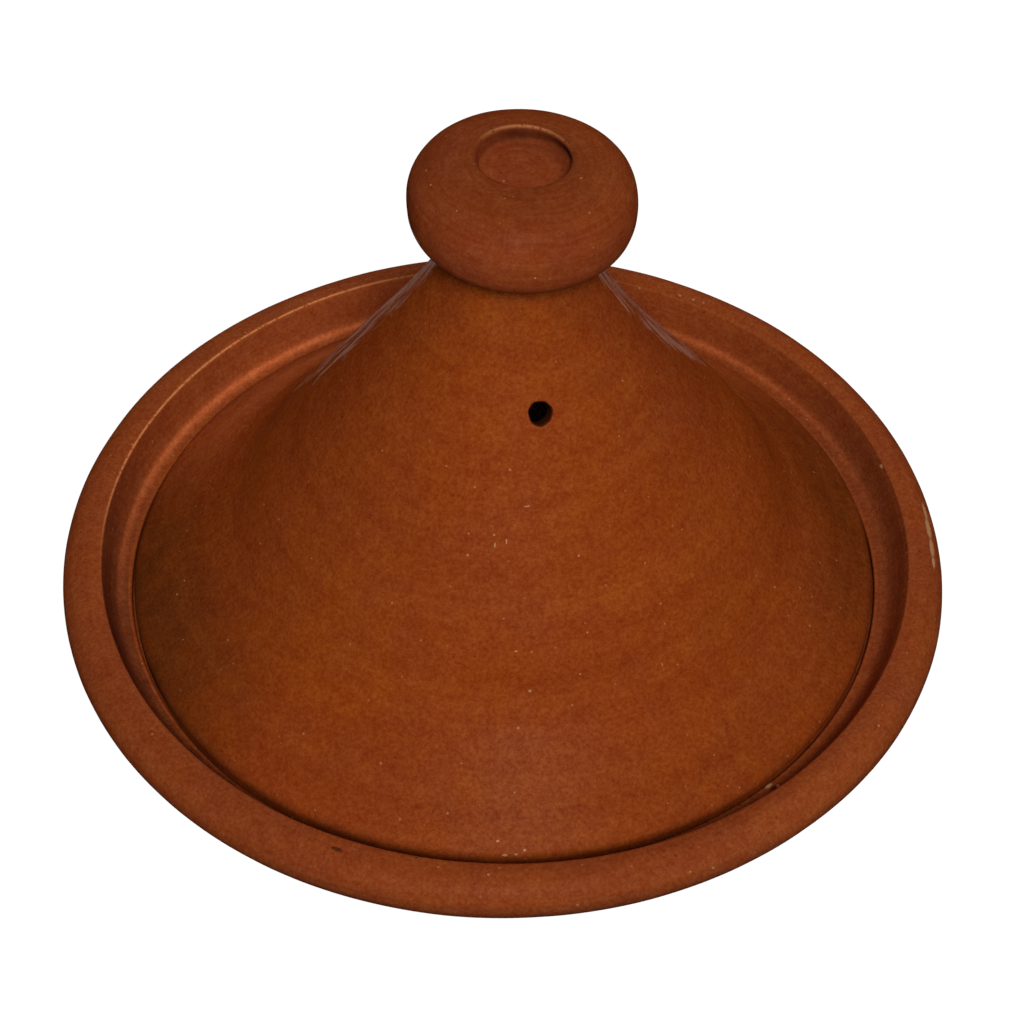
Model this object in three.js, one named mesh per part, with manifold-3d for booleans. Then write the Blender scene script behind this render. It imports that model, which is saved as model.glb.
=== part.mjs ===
// Unglazed clay tagine: a heavy shallow dish with a rolled rim and a gallery, and a hollow cone lid
// that stands loose on the gallery's ledge, with a steam vent in its wall and a thrown knob on its neck.
// Millimetres, +Z up. The origin is the centre of the dish's foot, and the vent faces -Y.
import * as THREE from "three";
import { mergeVertices } from "three/addons/utils/BufferGeometryUtils.js";
import Module from "manifold-3d";

// Dish: rim, gallery and ledge
const DISH_HEIGHT = 61; // foot to the top of the rim
const RIM_RADIUS = 149.5; // widest line of the rolled rim
const RIM_WIDTH = 12.4; // widest line in to the rim's inner edge
const RIM_DROP = 8.8; // top of the rim down to its widest line
const RIM_UNDERCUT = 15; // widest line down to where the roll runs into the wall
const RIM_OVERHANG = 10; // widest line in to where the roll runs into the wall
const GALLERY_DEPTH = 19; // top of the rim down to the ledge
const GALLERY_FLARE = 3; // outward slope of the gallery's wall, ledge to rim
const GALLERY_FILLET = 3.5;
const LEDGE_WIDTH = 18;

// Dish: bowl
const FOOT_RADIUS = 92;
const HEEL = 4; // trimmed corner of the foot
const FLOOR_THICKNESS = 11.5;
const FLOOR_INSET = 14; // foot's edge in to where the flat floor begins
const WALL_FOOT_SLOPE = THREE.MathUtils.degToRad(32);
const WALL_TOP_SLOPE = THREE.MathUtils.degToRad(60);
const BOWL_TOP_SLOPE = THREE.MathUtils.degToRad(72);

// Lid: hollow cone
const LID_PLAY = 8; // gallery's corner in to the lid's edge
const LID_EDGE = 5.7; // upright edge of the lid, seat to arris
const LID_WALL = 8;
const CONE_HEIGHT = 146; // arris of the edge up to the top of the neck
const BRIM_SLOPE = THREE.MathUtils.degToRad(39.3); // flared brim that the cone stands on
const BRIM_WIDTH = 42.8; // arris of the edge up the brim to its crease
const CREASE_ROUND = 6; // softened corner where the brim turns up into the cone
const CONE_SLOPE = THREE.MathUtils.degToRad(61.3); // cone just above the crease
const CONE_REACH = 23; // how far up the cone that slope pulls
const NECK_RADIUS = 18.7;
const NECK_SLOPE = THREE.MathUtils.degToRad(70.3);
const NECK_REACH = 38; // how far down the cone that slope pulls
const NECK_CAP = 15; // clay that closes the cone below the knob
const LID_LEAN = THREE.MathUtils.degToRad(2); // hand-thrown lean of the cone's axis, towards +X
const NECK_TILT = THREE.MathUtils.degToRad(3.4); // tilt of the neck's top and the knob, the same way
const TILT_ONSET = 3; // how late on its way up the cone starts to tilt: 1 is evenly from its edge

// Lid: steam vent
const VENT_DIAMETER = 7.4;
const VENT_HEIGHT = 106.8; // above the arris of the lid's edge

// Lid: knob
const KNOB_RADIUS = 35;
const KNOB_HEIGHT = 27.3;
const KNOB_GIRTH_HEIGHT = 10; // seat up to the knob's widest line
const KNOB_SEAT_RADIUS = 23.8; // flat underside of the knob
const KNOB_FULLNESS = 0.63; // roundness of the bun: 0.55 is an ellipse, 1 a square
const RECESS_RADIUS = 14.3;
const RECESS_DEPTH = 4.6;
const RECESS_SLOPE = 1.6; // how far the recess's wall runs in as it goes down

// Fits and softness of the clay
const SEAT_GAP = 0.3; // between pieces that rest on each other
const EDGE_ROUND = 1.3; // rubbed edges
const SOFT_ROUND = 2.4; // thumbed edges

// Facets
const AROUND = 64;
const SWEEP_STEPS = 6;
const ROUND_STEPS = 2;
const BRIM_STEPS = 3;
const CONE_STEPS = 11;
const VENT_SIDES = 20;
const SAME_POINT = 1e-3; // points nearer than this are one

const CLAY_COLOUR = 0x8b3e16;
const CLAY_ROUGHNESS = 0.55;

// Heights and radii that several pieces share
const ledgeZ = DISH_HEIGHT - GALLERY_DEPTH;
const rimEdgeRadius = RIM_RADIUS - RIM_WIDTH;
const galleryRadius = rimEdgeRadius - GALLERY_FLARE;
const ledgeInnerRadius = galleryRadius - LEDGE_WIDTH;
const lidRadius = galleryRadius - LID_PLAY;
const lidSeatZ = ledgeZ + SEAT_GAP;
const arrisZ = lidSeatZ + LID_EDGE;
const neckZ = arrisZ + CONE_HEIGHT;
const knobSeatZ = neckZ + SEAT_GAP;

const wasm = await Module();
wasm.setup();

// A point in section: its distance from the axis and its height.
function at(radius, height) {
  return new THREE.Vector2(radius, height);
}

// A point at a distance from another, along a slope above the outward direction.
function along(point, slope, distance) {
  return at(point.x + distance * Math.cos(slope), point.y + distance * Math.sin(slope));
}

// A softened corner between two points.
function rounded(start, corner, end) {
  return new THREE.QuadraticBezierCurve(start, corner, end).getPoints(ROUND_STEPS);
}

// A long curve between two points, pulled by a control point at each end.
function swept(start, startControl, endControl, end) {
  return new THREE.CubicBezierCurve(start, startControl, endControl, end).getPoints(SWEEP_STEPS);
}

// Turns an outline about the upright axis.
function turned(outline) {
  const points = outline.filter((point, i) => i === 0 || !point.equals(outline[i - 1]));
  return new THREE.LatheGeometry(points, AROUND).rotateX(Math.PI / 2);
}

// The dish's section, from the middle of its foot round the outside and back over the inside.
function dishOutline() {
  const heel = at(FOOT_RADIUS, 0);
  const heelEnd = along(heel, WALL_FOOT_SLOPE, HEEL);
  const girth = at(RIM_RADIUS, DISH_HEIGHT - RIM_DROP);
  const wallTop = at(girth.x - RIM_OVERHANG, girth.y - RIM_UNDERCUT);
  const wallRun = wallTop.distanceTo(heelEnd) / 3;
  const rimEdge = at(rimEdgeRadius, DISH_HEIGHT);
  const roll = new THREE.EllipseCurve(
    rimEdge.x + EDGE_ROUND,
    girth.y,
    RIM_WIDTH - EDGE_ROUND,
    RIM_DROP,
    0,
    Math.PI / 2,
  );
  const gallerySlope = Math.atan2(GALLERY_DEPTH, GALLERY_FLARE);
  const gallery = at(galleryRadius, ledgeZ);
  const ledgeEdge = at(ledgeInnerRadius, ledgeZ);
  const bowlTop = along(ledgeEdge, BOWL_TOP_SLOPE, -SOFT_ROUND);
  const floorEdge = at(FOOT_RADIUS - FLOOR_INSET, FLOOR_THICKNESS);
  const bowlRun = bowlTop.distanceTo(floorEdge) / 3;
  return [
    at(0, 0),
    ...rounded(at(heel.x - HEEL, 0), heel, heelEnd),
    ...swept(
      heelEnd,
      along(heelEnd, WALL_FOOT_SLOPE, wallRun),
      along(wallTop, WALL_TOP_SLOPE, -wallRun),
      wallTop,
    ),
    ...swept(
      wallTop,
      along(wallTop, WALL_TOP_SLOPE, RIM_OVERHANG / 2),
      at(girth.x, girth.y - RIM_UNDERCUT / 2),
      girth,
    ),
    ...roll.getPoints(SWEEP_STEPS),
    ...rounded(at(rimEdge.x + EDGE_ROUND, rimEdge.y), rimEdge, along(rimEdge, gallerySlope, -EDGE_ROUND)),
    ...rounded(
      along(gallery, gallerySlope, GALLERY_FILLET),
      gallery,
      at(gallery.x - GALLERY_FILLET, ledgeZ),
    ),
    ...rounded(at(ledgeEdge.x + SOFT_ROUND, ledgeZ), ledgeEdge, bowlTop),
    ...swept(bowlTop, along(bowlTop, BOWL_TOP_SLOPE, -bowlRun), along(floorEdge, 0, bowlRun), floorEdge),
    at(0, FLOOR_THICKNESS),
  ];
}

// The cone's outer line in section: a flared brim up to a soft crease, then steeper up to its neck.
function coneLine() {
  const arris = at(lidRadius, arrisZ);
  const crease = along(arris, Math.PI - BRIM_SLOPE, BRIM_WIDTH);
  const brimEnd = along(crease, -BRIM_SLOPE, CREASE_ROUND);
  const coneStart = along(crease, Math.PI - CONE_SLOPE, CREASE_ROUND);
  const neck = at(NECK_RADIUS, neckZ);
  const cone = new THREE.CubicBezierCurve(
    coneStart,
    along(coneStart, Math.PI - CONE_SLOPE, CONE_REACH),
    along(neck, -NECK_SLOPE, NECK_REACH),
    neck,
  );
  return [
    ...new THREE.LineCurve(arris, brimEnd).getPoints(BRIM_STEPS),
    ...rounded(brimEnd, crease, coneStart).slice(1),
    ...cone.getPoints(CONE_STEPS).slice(1),
  ];
}

// The cone's inner line in section, one wall in from the outer line, from under its cap down to its seat.
function hollowLine(line, apexZ) {
  const inner = line.map((point, i) => {
    const before = line[Math.max(i - 1, 0)];
    const after = line[Math.min(i + 1, line.length - 1)];
    const way = after.clone().sub(before).normalize();
    return at(point.x - way.y * LID_WALL, point.y + way.x * LID_WALL);
  });
  const hollow = inner.filter((point) => point.y < apexZ - SOFT_ROUND && point.y > lidSeatZ + SOFT_ROUND);
  return hollow.reverse();
}

// The hollow cone's section: down its inner face, out along its seat and up its outer face.
function coneOutline() {
  const line = coneLine();
  const apexZ = neckZ - NECK_CAP;
  const hollow = hollowLine(line, apexZ);
  const shoulder = hollow[0];
  const lip = hollow[hollow.length - 1];
  const seatInner = at(lip.x, lidSeatZ);
  const seatOuter = at(lidRadius, lidSeatZ);
  return [
    ...rounded(at(0, apexZ), at(shoulder.x, apexZ), shoulder),
    ...hollow,
    ...rounded(lip, seatInner, along(seatInner, 0, SOFT_ROUND)),
    ...rounded(along(seatOuter, 0, -EDGE_ROUND), seatOuter, along(seatOuter, Math.PI / 2, EDGE_ROUND)),
    ...line,
    at(0, neckZ),
  ];
}

// The knob's section: a flattened bun with a shallow round recess in its crown.
function knobOutline() {
  const seat = at(KNOB_SEAT_RADIUS, knobSeatZ);
  const girth = at(KNOB_RADIUS, knobSeatZ + KNOB_GIRTH_HEIGHT);
  const crown = at(RECESS_RADIUS + EDGE_ROUND, knobSeatZ + KNOB_HEIGHT);
  const recessEdge = at(RECESS_RADIUS, crown.y);
  const recessCorner = at(RECESS_RADIUS - RECESS_SLOPE, crown.y - RECESS_DEPTH);
  const recessSlope = Math.atan2(RECESS_DEPTH, RECESS_SLOPE);
  return [
    at(0, seat.y),
    ...swept(
      seat,
      along(seat, 0, (girth.x - seat.x) * KNOB_FULLNESS),
      at(girth.x, girth.y - (girth.y - seat.y) * KNOB_FULLNESS),
      girth,
    ),
    ...swept(
      girth,
      at(girth.x, girth.y + (crown.y - girth.y) * KNOB_FULLNESS),
      along(crown, 0, (girth.x - crown.x) * KNOB_FULLNESS),
      crown,
    ),
    ...rounded(crown, recessEdge, along(recessEdge, recessSlope, -EDGE_ROUND)),
    ...rounded(
      along(recessCorner, recessSlope, EDGE_ROUND),
      recessCorner,
      along(recessCorner, 0, -EDGE_ROUND),
    ),
    at(0, recessCorner.y),
  ];
}

// How far the lid's axis has leaned, towards +X, at a height above the arris of its edge.
function leanAt(rise) {
  return rise * Math.tan(LID_LEAN);
}

// Leans a piece of the lid: the cone's edge stays level on its seat, each course above it lies further
// towards +X, and the courses tilt as they near the neck, so that the knob sits askew.
function leaned(geometry) {
  const position = geometry.attributes.position;
  for (let i = 0; i < position.count; i += 1) {
    const across = position.getX(i);
    const height = position.getZ(i) - arrisZ;
    const rise = THREE.MathUtils.clamp(height, 0, CONE_HEIGHT);
    const beyond = height - rise;
    const tilt = NECK_TILT * (rise / CONE_HEIGHT) ** TILT_ONSET;
    position.setX(i, leanAt(rise) + across * Math.cos(tilt) + beyond * Math.sin(tilt));
    position.setZ(i, arrisZ + rise - across * Math.sin(tilt) + beyond * Math.cos(tilt));
  }
  return geometry;
}

// A closed geometry as a solid that can be cut.
function solid(geometry) {
  const bare = geometry.clone();
  bare.deleteAttribute("normal");
  bare.deleteAttribute("uv");
  const merged = mergeVertices(bare, SAME_POINT);
  return new wasm.Manifold(
    new wasm.Mesh({
      numProp: 3,
      vertProperties: new Float32Array(merged.attributes.position.array),
      triVerts: new Uint32Array(merged.index.array),
    }),
  );
}

function geometryOf(body) {
  const mesh = body.getMesh();
  const geometry = new THREE.BufferGeometry();
  geometry.setAttribute("position", new THREE.BufferAttribute(mesh.vertProperties, mesh.numProp));
  geometry.setIndex(new THREE.BufferAttribute(mesh.triVerts, 1));
  geometry.computeVertexNormals();
  return geometry;
}

// The stick that pokes the steam vent: level, from outside the cone to its middle.
function ventStick() {
  const reach = lidRadius;
  const stick = new THREE.CylinderGeometry(VENT_DIAMETER / 2, VENT_DIAMETER / 2, reach, VENT_SIDES);
  return stick.translate(leanAt(VENT_HEIGHT), -reach / 2, arrisZ + VENT_HEIGHT);
}

function piece(name, geometry) {
  const clay = new THREE.MeshStandardMaterial({
    color: CLAY_COLOUR,
    roughness: CLAY_ROUGHNESS,
    metalness: 0,
  });
  const mesh = new THREE.Mesh(geometry, clay);
  mesh.name = name;
  return mesh;
}

const dish = new THREE.Group();
dish.add(piece("base_dish", turned(dishOutline())));

const lid = new THREE.Group();
const cone = solid(leaned(turned(coneOutline())));
lid.add(piece("lid_cone", geometryOf(cone.subtract(solid(ventStick())))));
lid.add(piece("lid_knob", leaned(turned(knobOutline()))));

const tagine = new THREE.Group();
tagine.add(dish, lid);

export default tagine;
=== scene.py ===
"""Dresses the packed clay tagine: its turned dish, its leaning cone with the poked vent, and its knob."""

import math
from collections import namedtuple

import bmesh
import bpy
import numpy as np
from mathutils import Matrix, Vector, noise


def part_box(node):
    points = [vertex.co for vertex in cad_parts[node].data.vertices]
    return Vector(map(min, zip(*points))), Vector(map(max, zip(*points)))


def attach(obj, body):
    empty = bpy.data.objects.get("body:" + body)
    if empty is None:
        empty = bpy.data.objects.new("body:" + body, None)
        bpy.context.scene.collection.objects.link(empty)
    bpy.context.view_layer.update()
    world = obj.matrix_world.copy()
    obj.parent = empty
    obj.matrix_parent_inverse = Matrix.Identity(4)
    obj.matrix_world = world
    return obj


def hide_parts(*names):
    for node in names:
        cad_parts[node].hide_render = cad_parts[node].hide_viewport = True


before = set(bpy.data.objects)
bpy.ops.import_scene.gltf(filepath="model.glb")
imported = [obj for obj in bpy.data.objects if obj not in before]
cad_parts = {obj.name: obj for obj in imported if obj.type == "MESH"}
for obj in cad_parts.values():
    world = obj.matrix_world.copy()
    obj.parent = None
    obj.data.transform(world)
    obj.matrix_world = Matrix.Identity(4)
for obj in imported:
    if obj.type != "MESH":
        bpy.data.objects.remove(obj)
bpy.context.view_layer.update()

MM = 0.001

# Sizes that the frame gives
_, dish_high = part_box("base_dish")
cone_low, cone_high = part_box("lid_cone")
_, knob_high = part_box("lid_knob")
RIM_RADIUS = dish_high.x
DISH_HEIGHT = dish_high.z
LID_RADIUS = cone_high.y
SEAT_Z = cone_low.z
KNOB_RADIUS = knob_high.y

# Dish
RIM_WIDTH = 12.6 * MM
RIM_DROP = 8.8 * MM
RIM_UNDERCUT = 15 * MM
RIM_OVERHANG = 10 * MM
RIM_TUCK = 5.4 * MM
GALLERY_DEPTH = 19 * MM
GALLERY_FLARE = 4.3 * MM
GALLERY_FILLET = 4.5 * MM
SHELF_RISE = 3.6 * MM
SHELF_GAP = 0.9 * MM
LEDGE_REACH = 10 * MM
FOOT_RADIUS = 92 * MM
HEEL = 4 * MM
FLOOR_THICKNESS = 11.5 * MM
FLOOR_INSET = 14 * MM
WALL_FOOT_SLOPE = math.radians(32)
WALL_TOP_SLOPE = math.radians(60)
BOWL_TOP_SLOPE = math.radians(72)

# Cone of the lid
LID_EDGE = 5.7 * MM
LID_WALL = 8 * MM
CONE_HEIGHT = 146 * MM
BRIM_SLOPE = math.radians(39.3)
BRIM_WIDTH = 42.8 * MM
CREASE_ROUND = 11 * MM
CONE_SLOPE = math.radians(61.3)
CONE_REACH = 23 * MM
NECK_RADIUS = 18.7 * MM
NECK_SLOPE = math.radians(70.3)
NECK_REACH = 38 * MM
NECK_CAP = 15 * MM
LID_LEAN = math.radians(2)
NECK_TILT = math.radians(3.4)
TILT_ONSET = 3
WAIST_SWELL = 1.9 * MM
SWELL_HEIGHT = 90 * MM

# Vent, and the patch of the cone's wall that it is poked through
VENT_RADIUS = 3.5 * MM
VENT_HEIGHT = 106.8 * MM
VENT_STRETCH = 1.04
VENT_LIP = 0.5 * MM
VENT_BURR = 0.22 * MM
BURR_ONSET = 6
VENT_ROWS = 8
VENT_COLUMNS = 14
VENT_RINGS = 7
VENT_CROWDING = 0.7

# Knob
KNOB_HEIGHT = 27.3 * MM
KNOB_GIRTH_HEIGHT = 10 * MM
KNOB_SEAT_RADIUS = 23.8 * MM
KNOB_FULLNESS = 0.63
RECESS_RADIUS = 14.3 * MM
RECESS_DEPTH = 4.6 * MM
RECESS_SLOPE = 1.6 * MM
RECESS_SET_BACK = 1.4 * MM
SEAT_GAP = 0.3 * MM

# Softened corners
EDGE_ROUND = 1.3 * MM
SOFT_ROUND = 2.4 * MM

# Places that follow from the sizes
GIRTH_Z = DISH_HEIGHT - RIM_DROP
LEDGE_Z = DISH_HEIGHT - GALLERY_DEPTH
LEDGE_RADIUS = LID_RADIUS - LEDGE_REACH
SHELF_Z = LEDGE_Z + SHELF_RISE
SHELF_RADIUS = LID_RADIUS + SHELF_GAP
RIM_EDGE_RADIUS = RIM_RADIUS - RIM_WIDTH
GALLERY_RADIUS = RIM_EDGE_RADIUS - GALLERY_FLARE
ARRIS_Z = SEAT_Z + LID_EDGE
NECK_Z = ARRIS_Z + CONE_HEIGHT
KNOB_Z = NECK_Z + SEAT_GAP
KNOB_GIRTH_Z = KNOB_Z + KNOB_GIRTH_HEIGHT
CROWN_Z = KNOB_Z + KNOB_HEIGHT
RECESS_Z = CROWN_Z - RECESS_DEPTH
VENT_Z = ARRIS_Z + VENT_HEIGHT

# Fineness of the meshes
FINE = 0.9 * MM
PLAIN = 1.6 * MM
COARSE = 4 * MM
CONE_STEP = 1.15 * MM
AROUND = 512
KNOB_AROUND = 320
SAME_PLACE = 0.001 * MM
OFF_AXIS = 1e-9

# Hand-made unevenness: how large lumps, dimples and throwing rings are, and how far they stand out
LUMP_SIZE = 34 * MM
LUMP_HEIGHT = 0.2 * MM
DIMPLE_SIZE = 9 * MM
DIMPLE_HEIGHT = 0.04 * MM
RING_PITCH = 3.6 * MM
RING_WANDER = 1.5
WANDER_SIZE = 3 * LUMP_SIZE
RING_BEAT = 0.83
RING_EVENNESS = 0.55
DISH_RINGS = 0.02 * MM
LID_RINGS = 0.018 * MM


def at(radius, height):
    return np.array((radius, height))


def along(point, slope, distance):
    """The point at a distance from another one, on a line with this slope."""
    return point + distance * np.array((math.cos(slope), math.sin(slope)))


def curve(*controls, step=FINE):
    """Points about one step apart on the Bezier curve with these controls."""
    reach = sum(np.linalg.norm(b - a) for a, b in zip(controls, controls[1:]))
    t = np.linspace(0, 1, max(2, math.ceil(reach / step)) + 1)[:, None]
    levels = [np.repeat(control[None], len(t), axis=0) for control in controls]
    while len(levels) > 1:
        levels = [a + (b - a) * t for a, b in zip(levels, levels[1:])]
    return levels[0]


def roll(centre, width, height, step=FINE):
    """A quarter of an ellipse, from its side up to its top."""
    count = math.ceil((width + height) / step)
    turn = np.linspace(0, math.pi / 2, count + 1)
    return centre + np.stack((width * np.cos(turn), height * np.sin(turn)), axis=1)


def outline(*runs):
    """One line of points from runs of points that join end to end."""
    points = np.concatenate(runs)
    moved = np.linalg.norm(np.diff(points, axis=0), axis=1) > SAME_PLACE
    return points[np.concatenate(((True,), moved))]


def dish_outside():
    """The runs of the dish's section from the middle of its foot up the wall and over the rim's roll."""
    heel = at(FOOT_RADIUS, 0)
    foot_end = at(FOOT_RADIUS - HEEL, 0)
    heel_end = along(heel, WALL_FOOT_SLOPE, HEEL)
    wall_top = at(RIM_RADIUS - RIM_OVERHANG, GIRTH_Z - RIM_UNDERCUT)
    run = np.linalg.norm(wall_top - heel_end) / 3
    return [
        curve(at(0, 0), foot_end, step=COARSE),
        curve(foot_end, heel, heel_end),
        curve(
            heel_end,
            along(heel_end, WALL_FOOT_SLOPE, run),
            along(wall_top, WALL_TOP_SLOPE, -run),
            wall_top,
            step=PLAIN,
        ),
        curve(
            wall_top,
            along(wall_top, WALL_TOP_SLOPE, RIM_OVERHANG / 2),
            at(RIM_RADIUS, GIRTH_Z - RIM_TUCK),
            at(RIM_RADIUS, GIRTH_Z),
        ),
        roll(at(RIM_EDGE_RADIUS + EDGE_ROUND, GIRTH_Z), RIM_WIDTH - EDGE_ROUND, RIM_DROP),
    ]


def bowl_top():
    return along(at(LEDGE_RADIUS, LEDGE_Z), BOWL_TOP_SLOPE, -SOFT_ROUND)


def dish_gallery():
    """The runs from the rim's inner edge down the gallery's wall and over its shelf and ledge."""
    rim_edge = at(RIM_EDGE_RADIUS, DISH_HEIGHT)
    gallery = at(GALLERY_RADIUS, SHELF_Z)
    slope = math.atan2(*(rim_edge - gallery)[::-1])
    wall_top = along(rim_edge, slope, -EDGE_ROUND)
    wall_foot = along(gallery, slope, GALLERY_FILLET)
    shelf_outer = at(GALLERY_RADIUS - GALLERY_FILLET, SHELF_Z)
    shelf_inner = at(SHELF_RADIUS + SHELF_GAP, SHELF_Z)
    step_top = at(SHELF_RADIUS, SHELF_Z - SHELF_GAP)
    step_foot = at(SHELF_RADIUS, LEDGE_Z)
    ledge_inner = at(LEDGE_RADIUS + SOFT_ROUND, LEDGE_Z)
    return [
        curve(at(RIM_EDGE_RADIUS + EDGE_ROUND, DISH_HEIGHT), rim_edge, wall_top, step=FINE / 5),
        curve(wall_top, wall_foot, gallery, shelf_outer, step=FINE / 2),
        curve(shelf_outer, shelf_inner),
        curve(shelf_inner, at(SHELF_RADIUS, SHELF_Z), step_top, step=FINE / 3),
        curve(step_top, step_foot),
        curve(step_foot, ledge_inner),
        curve(ledge_inner, at(LEDGE_RADIUS, LEDGE_Z), bowl_top(), step=FINE / 2),
    ]


def dish_bowl():
    """The runs from the ledge's edge down the bowl and over its floor."""
    top = bowl_top()
    floor_edge = at(FOOT_RADIUS - FLOOR_INSET, FLOOR_THICKNESS)
    run = np.linalg.norm(top - floor_edge) / 3
    return [
        curve(top, along(top, BOWL_TOP_SLOPE, -run), along(floor_edge, 0, run), floor_edge, step=PLAIN),
        curve(floor_edge, at(0, FLOOR_THICKNESS), step=COARSE),
    ]


def dish_outline():
    """The dish's section, from the middle of its foot round the outside and back over the inside."""
    return outline(*dish_outside(), *dish_gallery(), *dish_bowl())


def cone_line():
    """The cone's outer line in section: a flared brim up to a soft crease, then steeper to its neck."""
    arris = at(LID_RADIUS, ARRIS_Z)
    crease = along(arris, math.pi - BRIM_SLOPE, BRIM_WIDTH)
    brim_end = along(crease, -BRIM_SLOPE, CREASE_ROUND)
    cone_start = along(crease, math.pi - CONE_SLOPE, CREASE_ROUND)
    neck = at(NECK_RADIUS, NECK_Z)
    cone = curve(
        cone_start,
        along(cone_start, math.pi - CONE_SLOPE, CONE_REACH),
        along(neck, -NECK_SLOPE, NECK_REACH),
        neck,
        step=CONE_STEP,
    )
    brim = curve(arris, brim_end, step=CONE_STEP)
    return outline(brim, curve(brim_end, crease, cone_start, step=CONE_STEP), cone)


def hollow_line(line, apex_z):
    """The cone's inner line, one wall in from the outer one, from under its cap down to its seat."""
    inner = line - LID_WALL * outward(line)
    inside = (inner[:, 1] < apex_z - SOFT_ROUND) & (inner[:, 1] > SEAT_Z + SOFT_ROUND)
    return inner[inside][::-1]


# Which of the cone's runs are the two faces of its wall
INNER_FACE = 1
OUTER_FACE = 7


def cone_runs():
    """The runs of the cone's section: cap, inner face, seat, edge, outer face and the top of the neck."""
    line = cone_line()
    apex_z = NECK_Z - NECK_CAP
    hollow = hollow_line(line, apex_z)
    lip = hollow[-1]
    seat_inner = at(lip[0], SEAT_Z)
    seat_outer = at(LID_RADIUS, SEAT_Z)
    seat_start = along(seat_inner, 0, SOFT_ROUND)
    seat_end = along(seat_outer, 0, -EDGE_ROUND)
    edge_foot = along(seat_outer, math.pi / 2, EDGE_ROUND)
    arris_low = at(LID_RADIUS, ARRIS_Z - EDGE_ROUND)
    arris_high = line[2]
    return [
        curve(at(0, apex_z), at(hollow[0][0], apex_z), hollow[0], step=PLAIN),
        hollow,
        curve(lip, seat_inner, seat_start),
        curve(seat_start, seat_end),
        curve(seat_end, seat_outer, edge_foot, step=FINE / 2),
        curve(edge_foot, arris_low),
        curve(arris_low, line[0], arris_high, step=FINE / 3),
        line[3:],
        curve(line[-1], at(0, NECK_Z), step=COARSE),
    ]


def knob_outline():
    """The knob's section: a flattened bun with a shallow round recess in its crown."""
    seat = at(KNOB_SEAT_RADIUS, KNOB_Z)
    girth = at(KNOB_RADIUS, KNOB_GIRTH_Z)
    crown = at(RECESS_RADIUS + EDGE_ROUND, CROWN_Z)
    recess_edge = at(RECESS_RADIUS, CROWN_Z)
    recess_corner = at(RECESS_RADIUS - RECESS_SLOPE, RECESS_Z)
    recess_slope = math.atan2(RECESS_DEPTH, RECESS_SLOPE)
    recess_top = along(recess_edge, recess_slope, -EDGE_ROUND)
    recess_foot = along(recess_corner, recess_slope, EDGE_ROUND)
    recess_floor = along(recess_corner, 0, -EDGE_ROUND)
    rise = crown[1] - girth[1]
    return outline(
        curve(at(0, seat[1]), seat, step=COARSE),
        curve(
            seat,
            along(seat, 0, (girth[0] - seat[0]) * KNOB_FULLNESS),
            at(girth[0], girth[1] - KNOB_GIRTH_HEIGHT * KNOB_FULLNESS),
            girth,
        ),
        curve(
            girth,
            at(girth[0], girth[1] + rise * KNOB_FULLNESS),
            along(crown, 0, (girth[0] - crown[0]) * KNOB_FULLNESS),
            crown,
        ),
        curve(crown, recess_edge, recess_top, step=FINE / 3),
        curve(recess_top, recess_foot, step=FINE / 2),
        curve(recess_foot, recess_corner, recess_floor, step=FINE / 3),
        curve(recess_floor, at(0, RECESS_Z)),
    )


def outward(points):
    """The unit normals of an outline, on its clay-free side."""
    step = np.gradient(points, axis=0)
    normal = np.stack((step[:, 1], -step[:, 0]), axis=1)
    return normal / np.linalg.norm(normal, axis=1, keepdims=True)


def course_of(points):
    """How far along an outline each of its points is."""
    steps = np.linalg.norm(np.diff(points, axis=0), axis=1)
    return np.concatenate(((0,), np.cumsum(steps)))


def swung(profile, turn):
    """Points or normals (radius, height), swung about the axis by turns that start at the vent's side, -Y."""
    radius, height, turn = np.broadcast_arrays(profile[..., 0], profile[..., 1], turn)
    return np.stack((radius * np.sin(turn), -radius * np.cos(turn), height), axis=-1)


def turns(columns, *dense):
    """Turns about the axis, evenly spaced, with more of them where small marks need a finer mesh."""
    runs = [2 * math.pi * np.arange(columns) / columns]
    for middle, half, count in dense:
        runs.append(np.radians(np.linspace(middle - half, middle + half, count)) % (2 * math.pi))
    return np.unique(np.round(np.concatenate(runs), 5))


def turn_of(points):
    """How far round the pot points are, from the vent's side, -Y, towards +X."""
    return np.arctan2(points[..., 0], -points[..., 1])


def towards(turn, degrees):
    """1 on one side of the pot, falling off to 0 a quarter of the way round."""
    return np.clip(np.cos(turn - math.radians(degrees)), 0, 1)


def bell(turn, degrees, reach, sharpness=2):
    """1 at one place round the pot, falling off over a reach in degrees."""
    return np.exp(-((np.degrees(turn) - degrees) / reach) ** sharpness)


def fade(value, start, end):
    """How far a value has come from a start to an end, from 0 to 1."""
    return np.clip((value - start) / (end - start), 0, 1)


def near(points, centre, reach):
    """A soft weight, 1 at a centre and falling off over a reach."""
    away = np.linalg.norm(points - np.asarray(centre), axis=-1)
    return np.exp(-((away / reach) ** 2))


def unevenness(points, size):
    """Smooth noise between about -1 and 1 over points, with lumps of this size."""
    flat = points.reshape(-1, 3) / size
    values = np.array([noise.noise(Vector(point)) for point in flat])
    return values.reshape(points.shape[:-1])


# A small mark in the clay, in millimetres: where it is, its half length round the pot, its half width,
# how far it is sunk, and whether it shows pale clay or a dark stain.
Mark = namedtuple("Mark", "x y z length width depth tone")

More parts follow.
